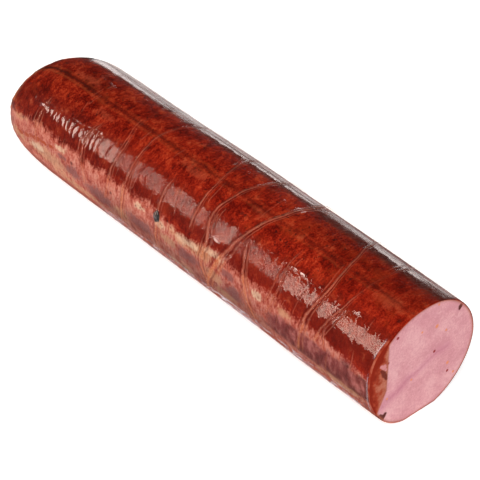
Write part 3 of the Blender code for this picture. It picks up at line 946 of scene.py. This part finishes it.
def bare_edge(g, grain, colour):
    """The skin past the film's edge, which rolls over beside the cut."""
    bare = g.range(g.sway(g.field("bare"), (grain.mottle, 0.8)), 0.3, 0.7)
    tone = g.scaled(g.field("roll"), -0.8, g.noise(200, 4, 0.62))
    colour = g.mix(bare, colour, g.ramp(tone, ROLL_STOPS))
    colour = g.tint(colour, "roll_pink", g.times(g.spots(face_places(ROLL_PINK), True), bare))
    return g.tint(colour, "roll_dark", g.spots(face_places(ROLL_DARK), True))


def skin_material():
    """Smoked skin: mottled dark red over a pale zone with a ragged edge, under the clinging film."""
    g = Graph("smoked_skin")
    grain = skin_grain(g)
    ragged = g.sway(g.field("pale"), (grain.fibre, 7), (grain.mottle, 12), (grain.fine, 6))
    pale_share = g.range(ragged, -1.8, 4.2)
    colour = g.mix(pale_share, red_skin(g, grain), pale_skin(g, grain))
    colour = dome_marks(g, grain, colour)
    narrow = g.range(g.field("pale"), -50, 3, 1.2, 0.45)
    dark = fold_lines(g, "dark", narrow)
    colour = fold_marks(g, colour, pale_share, dark, fold_lines(g, "light", narrow))
    colour = bare_edge(g, grain, colour)
    stains = [(side_point(x * MM, math.radians(turn)), radius * MM) for x, turn, radius in STAINS]
    colour = g.tint(colour, "stain", g.spots(stains))

    heights = g.scaled(grain.mottle, 0.6, g.times(grain.fine, 0.15))
    heights = g.scaled(grain.fibre, 0.35, heights)
    ridge = g.range(g.math("ABSOLUTE", g.field("ridge")), 0.85, 0.45)
    covered = g.times(g.math("MAXIMUM", g.field("covered"), ridge), rim_gaps(g))
    covered = g.times(covered, g.scaled(dark, -0.85, 1))
    return g.finish(g.solid({
        "Base Color": colour, "Roughness": g.range(grain.mottle, 0.3, 0.7, 0.4, 0.55),
        "Specular IOR Level": 0.04, "Normal": g.bump(heights, 0.8, 0.9 * MM), "Coat Weight": covered,
        "Coat Roughness": 0.01, "Coat IOR": 1.38, "Coat Normal": film_ripple(g)}))


def face_places(table):
    return [((0, AXIS_Y + y * MM, AXIS_Z + z * MM), radius * MM) for y, z, radius in table]


def cut_material():
    """The moist pink cut face, with a seam, pores and a few peppery spots."""
    g = Graph("cut_meat")
    grain = g.noise(700, 4, 0.65)
    vein = g.noise(130, 5, 0.7, distortion=1.2)
    colour = g.ramp(g.sway(g.noise(45, 4, 0.55), (grain, 0.8)), CUT_STOPS)
    colour = g.tint(colour, "vein", g.range(vein, 0.56, 0.72))
    colour = g.tint(colour, "seam_haze", g.field("seam_haze"))
    seam = g.times(g.field("seam"), g.range(g.noise(420, 3, 0.6), 0.34, 0.6, 0.25, 1))
    colour = g.tint(colour, "seam", seam)
    for name, table in (("orange_spots", ORANGE_SPOTS), ("red_spots", RED_SPOTS), ("dark_spots", ROLL_DARK)):
        colour = g.tint(colour, name, g.spots(face_places(table), True))
    colour = g.tint(colour, "rim", g.field("rim"))
    heights = g.math("ADD", grain, g.times(vein, 0.8))
    return g.finish(g.solid({
        "Base Color": colour, "Roughness": g.range(grain, 0.3, 0.7, 0.42, 0.56), "Specular IOR Level": 0.3,
        "Normal": g.bump(heights, 0.25, 0.6 * MM)}))


def film_material():
    """Clear glossy film, with brownish pinched folds, and painted pale glints where it stands off and along
    its cut edge.
    """
    g = Graph("clear_film")
    normal = film_ripple(g)
    outside = g.math("SUBTRACT", 1, g.add("NewGeometry", output="Backfacing"))
    facing = g.add("LayerWeight", {"Blend": 0.5, "Normal": normal}, "Facing")
    edge = g.times(g.math("POWER", facing, 5), g.field("sheer"))
    share = g.scaled(edge, 0.5, g.times(g.field("lift"), 0.05))
    share = g.times(g.math("ADD", share, g.field("gleam")), outside)
    clear = g.add("BsdfTransparent", {"Color": (0.985, 0.965, 0.95)})
    gloss = g.add("BsdfAnisotropic", {"Color": (1, 1, 1), "Roughness": 0.015, "Normal": normal})
    film = g.cover(g.times(share, rim_gaps(g)), clear, gloss)
    brown = g.solid({"Base Color": (0.46, 0.17, 0.1), "Roughness": 0.3})
    broken = g.range(g.noise(500, 3, 0.6), 0.35, 0.65, 0.05, 0.45)
    film = g.cover(g.times(g.times(fold_lines(g, "crest"), broken), outside), film, brown)
    # A matt pale surface that paints the glints on the film
    white = g.solid({"Base Color": (0.82, 0.77, 0.82), "Roughness": 0.25})
    strands = g.noise(300, 3, 0.6, stretch=(0.14, 1, 1), distortion=0.7)
    strands = g.range(g.math("ABSOLUTE", g.math("SUBTRACT", strands, 0.5)), 0.05, 0.012)
    painted_glints = g.scaled(strands, g.field("painted_glint"), g.field("painted_edge_glint"))
    return g.finish(g.cover(g.times(painted_glints, outside), film, white))


def berry_material():
    """The skin of a dark dried berry, with a greyish bloom."""
    g = Graph("berry_skin")
    fine = g.noise(1200, 4, 0.6)
    bloom = g.range(g.noise(420, 3, 0.6), 0.52, 0.66)
    return g.finish(g.solid({
        "Base Color": g.tint(g.ramp(fine, BERRY_STOPS), "bloom", bloom), "Roughness": 0.38,
        "Normal": g.bump(fine, 0.6, 0.5 * MM), "Coat Weight": 0.6, "Coat Roughness": 0.08}))


def floor_material():
    """White table: a matt surface that glows a little, as if lit from below."""
    g = Graph("white_floor")
    return g.finish(g.solid({
        "Base Color": g.ramp(g.noise(60, 3, 0.5), FLOOR_STOPS), "Roughness": 0.7, "Specular IOR Level": 0.1,
        "Emission Color": (1, 1, 1), "Emission Strength": FLOOR_GLOW}))


def card_material(name, colour, radiance, rise):
    """A lit card; with a rise its light grows with the distance from the log, up to the radiance."""
    g = Graph(name)
    strength = radiance
    if rise:
        y = g.add("SeparateXYZ", {"Vector": g.coords}, "Y")
        away = g.math("SUBTRACT", y, CARD_DARK_Y)
        strength = g.math("DIVIDE", g.times(away, radiance), g.math("ADD", away, rise))
    return g.finish(g.add("Emission", {"Color": colour, "Strength": strength}))


# Pieces


def add_object(name, data):
    item = bpy.data.objects.new(name, data)
    bpy.context.scene.collection.objects.link(item)
    return item


def mesh_object(name, vertices, faces, materials, slots=None, fields=None):
    data = bpy.data.meshes.new(name)
    data.from_pydata(vertices, [], faces)
    for made in materials:
        data.materials.append(made)
    if slots is not None:
        data.polygons.foreach_set("material_index", slots)
    for field, values in (fields or {}).items():
        layer = data.attributes.new(field, "FLOAT", "POINT")
        layer.data.foreach_set("value", np.asarray(values, np.float32))
    data.shade_smooth()
    return add_object(name, data)


def sleeve_faces(rings, columns, first=0, flip=False):
    """Quads that join rings of points into a sleeve."""
    ring = first + np.arange(rings - 1)[:, None] * columns
    a = ring + np.arange(columns)
    b = ring + (np.arange(columns) + 1) % columns
    quads = np.stack([a, a + columns, b + columns, b], axis=-1).reshape(-1, 4)
    return (quads[:, ::-1] if flip else quads).tolist()


def fan_faces(first, columns, tip, flip=False):
    """Triangles that close a ring of points onto one point."""
    faces = [[first + j, first + (j + 1) % columns, tip] for j in range(columns)]
    return [face[::-1] for face in faces] if flip else faces


def face_rows(inner, angle):
    """Rings of the cut face from near its centre outwards, a little uneven inside its rim."""
    share = np.arange(FACE_RINGS - 1, 0, -1)[:, None] / FACE_RINGS
    rows = axis_point(FACE_X, inner * (1 - share), angle)
    rows[..., 0] -= (0.1 + 0.07 * noise(rows / MM, 7, 4)) * MM
    return rows


def roll_rows(inner, outer, angle):
    """Rings of the skin that rolls over beside the cut, from the face's rim outwards."""
    turn = np.radians(90 * np.arange(ROLL_RINGS) / ROLL_RINGS)[:, None]
    x = FACE_X - roll_depth(angle) * (1 - np.cos(turn))
    rows = axis_point(x, inner + (outer - inner) * np.sin(turn), angle)
    lump = 0.25 * MM * noise(rows / MM, 4, 3) * np.linspace(0, 1, ROLL_RINGS)[:, None]
    rows[..., 0] -= np.abs(lump) * (inner < outer - 2 * MM)
    rows[..., 2] = np.maximum(rows[..., 2], 0.3 * MM)
    return rows


def build_meat(skin, cut):
    """The meat: its cut face, the rolled edge and the smoked side."""
    angle = angles_round(COLUMNS)
    nominal = side_rows(FACE_X - roll_depth(angle), BARREL_RINGS, DOME_RINGS, angle)
    points = nominal / MM
    side = push_out(nominal, (-SKIN_SUNK + wrinkles(points) + DOME_LUMPS * gathers(points, angle)) * MM)
    inner = pink_radius(angle)
    outer = np.hypot(side[0, :, 1] - AXIS_Y, side[0, :, 2] - AXIS_Z)
    face = face_rows(inner, angle)
    count = len(face)
    rows = np.concatenate([face, roll_rows(inner, outer, angle), side])
    centre = rows[..., 0].size
    vertices = np.concatenate([rows.reshape(-1, 3), [(FACE_X - 0.1 * MM, AXIS_Y, AXIS_Z),
                                                     DOME_TIP + (SKIN_SUNK * MM, 0, 0)]])
    faces = fan_faces(0, COLUMNS, centre) + sleeve_faces(len(rows), COLUMNS)
    faces += fan_faces(centre - COLUMNS, COLUMNS, centre + 1, flip=True)
    pink = (count + 1) * COLUMNS
    slots = [1] * pink + [0] * (len(faces) - pink)
    fields = {}
    for key, value in skin_fields(rows[count:], angle).items():
        fields[key] = np.concatenate([np.zeros((count, COLUMNS)), value])
    fields.update(face_fields(rows, count, angle))
    for key, value in fields.items():
        fields[key] = np.concatenate([value.ravel(), [value[0].mean(), value[-1].mean()]])
    return mesh_object("ham_meat", vertices.tolist(), faces, [skin, cut], slots, fields)


def build_berry(material):
    """A dried berry pressed into the meat, wrinkled and standing a little proud."""
    turns = np.radians(np.arange(BERRY_COLUMNS) * 360 / BERRY_COLUMNS)
    tilts = np.radians(np.linspace(0, 180, BERRY_RINGS + 2))[1:-1, None]
    ball = stack(np.sin(tilts) * np.cos(turns), np.sin(tilts) * np.sin(turns), np.cos(tilts))
    points = np.concatenate([ball.reshape(-1, 3), [(0, 0, 1), (0, 0, -1)]])
    lumps = 0.13 * noise(points, 0.35, 61) + 0.05 * noise(points, 0.13, 62)
    points = points * (1 + lumps)[:, None]
    angle = math.radians(BERRY_ANGLE)
    across, up = math.cos(angle), math.sin(angle)
    axes = np.array([(1, 0, 0), (0, -up, across), (0, across, up)])
    centre = side_point(BERRY_X, angle) - BERRY_SUNK * axes[2]
    placed = centre + (points * BERRY_HALVES) @ axes
    top = len(placed) - 2
    faces = sleeve_faces(BERRY_RINGS, BERRY_COLUMNS) + fan_faces(0, BERRY_COLUMNS, top)
    faces += fan_faces(top - BERRY_COLUMNS, BERRY_COLUMNS, top + 1, flip=True)
    return mesh_object("dark_berry", placed.tolist(), faces, [material])


def film_faces(rings, inner_rings):
    """The film's outer wall, the inner one with half its points, the rim between them and the tips."""
    start = rings * FILM_COLUMNS
    half = FILM_COLUMNS // 2
    tip = start + inner_rings * half
    faces = sleeve_faces(rings, FILM_COLUMNS) + sleeve_faces(inner_rings, half, start, flip=True)
    for j in range(half):
        k = (j + 1) % half
        a, b, c = 2 * j, 2 * j + 1, (2 * j + 2) % FILM_COLUMNS
        faces += [[a, b, start + j], [b, c, start + k], [b, start + k, start + j]]
    faces += fan_faces(start - FILM_COLUMNS, FILM_COLUMNS, tip, flip=True)
    return faces + fan_faces(tip - half, half, tip + 1)


def loose_folds(points, turn):
    """Low crumples where the film is loose, down the near side."""
    loose = band(turn, 192, 216, 5) * step(-90, -60, points[..., 0])
    folded = noise(points, (14, 5, 5), 71) + noise(points, (7, 3, 3), 72)
    return LOOSE_HEIGHT * loose * np.abs(folded)


def build_film(material):
    """The film: an outer wall with folds, a seam and a tent over the berry, and an inner wall."""
    angle = angles_round(FILM_COLUMNS)
    nominal = side_rows(film_edge(angle), FILM_BARREL_RINGS, FILM_DOME_RINGS, angle)
    points = nominal / MM
    turn = turn_from(angle) + 0 * points[..., 0]
    height, fields = fold_fields(points, turn)
    height = height + loose_folds(points, turn)
    seam = SEAM_HEIGHT * np.exp(-((turn - SEAM_ANGLE) / 1.6) ** 2)
    berry_away = np.linalg.norm(nominal - side_point(BERRY_X, math.radians(BERRY_ANGLE)), axis=2) / MM
    tent = TENT_HEIGHT * np.clip(1 - berry_away / TENT_REACH, 0, 1)
    out = FILM_HEIGHT + wrinkles(points) + seam + tent + DOME_LUMPS * gathers(points, angle) + height
    free = lifted(angle)
    rows = push_out(nominal, (out * free + FILM_HEIGHT_UNDER * (1 - free)) * MM)
    rows[..., 2] = np.maximum(rows[..., 2], 0)
    inner_rows = push_out(nominal, (out - FILM_WALL) * MM)[::INNER_STEP, ::2]
    inner_rows[..., 2] = np.maximum(inner_rows[..., 2], 0.05 * MM)
    tips = [DOME_TIP - (0.35 * MM, 0, 0), DOME_TIP - (0.2 * MM, 0, 0)]
    vertices = np.concatenate([rows.reshape(-1, 3), inner_rows.reshape(-1, 3), tips])
    vertices[:, 0] = np.maximum(vertices[:, 0], cad_box[0][0])
    fields.update(ripple_fields(points, turn))
    fields.update(film_fields(points, turn, height, tent))
    spare = np.zeros(len(vertices) - height.size)
    for key, value in fields.items():
        fields[key] = np.concatenate([value.ravel(), spare])
    faces = film_faces(len(rows), len(inner_rows))
    return mesh_object("film_wrap", vertices.tolist(), faces, [material], None, fields)


# The stage's objects


def build_floor():
    far = FLOOR_HALF
    corners = [(-far, -far, 0), (far, -far, 0), (far, far, 0), (-far, far, 0)]
    floor = mesh_object("floor", corners, [[0, 1, 2, 3]], [floor_material()])
    floor.location = (0, 0, FLOOR_Z)
    floor.visible_glossy = False


def build_cards():
    for name, plane, place, outline, colour, radiance, rise in CARDS:
        corners = [(a, place, b) if plane == "y" else (a, b, place) for a, b in outline]
        material = card_material(name, colour, radiance, rise)
        card = mesh_object(name, corners, [list(range(len(corners)))], [material])
        for rays in ("camera", "diffuse", "shadow", "transmission"):
            setattr(card, "visible_" + rays, False)


def look_at(item, place, target):
    item.location = place
    item.rotation_euler = (Vector(target) - Vector(place)).to_track_quat("-Z", "Y").to_euler()


def add_camera():
    data = bpy.data.cameras.new("camera")
    data.sensor_width = SENSOR_MM
    data.lens = LENS_MM
    data.clip_start = 0.01
    data.clip_end = 60
    camera = add_object("camera", data)
    look_at(camera, CAMERA_PLACE, CAMERA_TARGET)
    bpy.context.scene.camera = camera


def add_light(kind, name, place, target, strength):
    data = bpy.data.lights.new(name, kind)
    data.energy = strength
    light = add_object(name, data)
    light.visible_glossy = False
    look_at(light, place, target)
    return data


def add_lights():
    """A sun, and a soft fill on the near side that is level with its target, in a dim room."""
    sun = add_light("SUN", "key", SUN_PLACE, (0, 0, 0), SUN_STRENGTH)
    sun.angle = math.radians(SUN_ANGLE)
    wide, high = FILL_SIZE
    level = (FILL_PLACE[0], 0, FILL_PLACE[2])
    fill = add_light("AREA", "fill", FILL_PLACE, level, FILL_RADIANCE * math.pi * wide * high)
    fill.shape = "RECTANGLE"
    fill.size = wide
    fill.size_y = high
    world = bpy.data.worlds.new("dim_room")
    world.use_nodes = True
    world.node_tree.nodes["Background"].inputs["Color"].default_value = (*DIM_ROOM, 1)
    bpy.context.scene.world = world


ham = build_meat(skin_material(), cut_material())
film = build_film(film_material())
berry = build_berry(berry_material())
for piece, node, slot in ((ham, "ham", "smoked_meat"), (berry, "ham", "smoked_meat"),
                          (film, "film", "clear_film")):
    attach(piece, "root")
    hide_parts(node)
build_floor()
build_cards()
add_lights()
add_camera()
bpy.context.scene.view_settings.view_transform = "Standard"
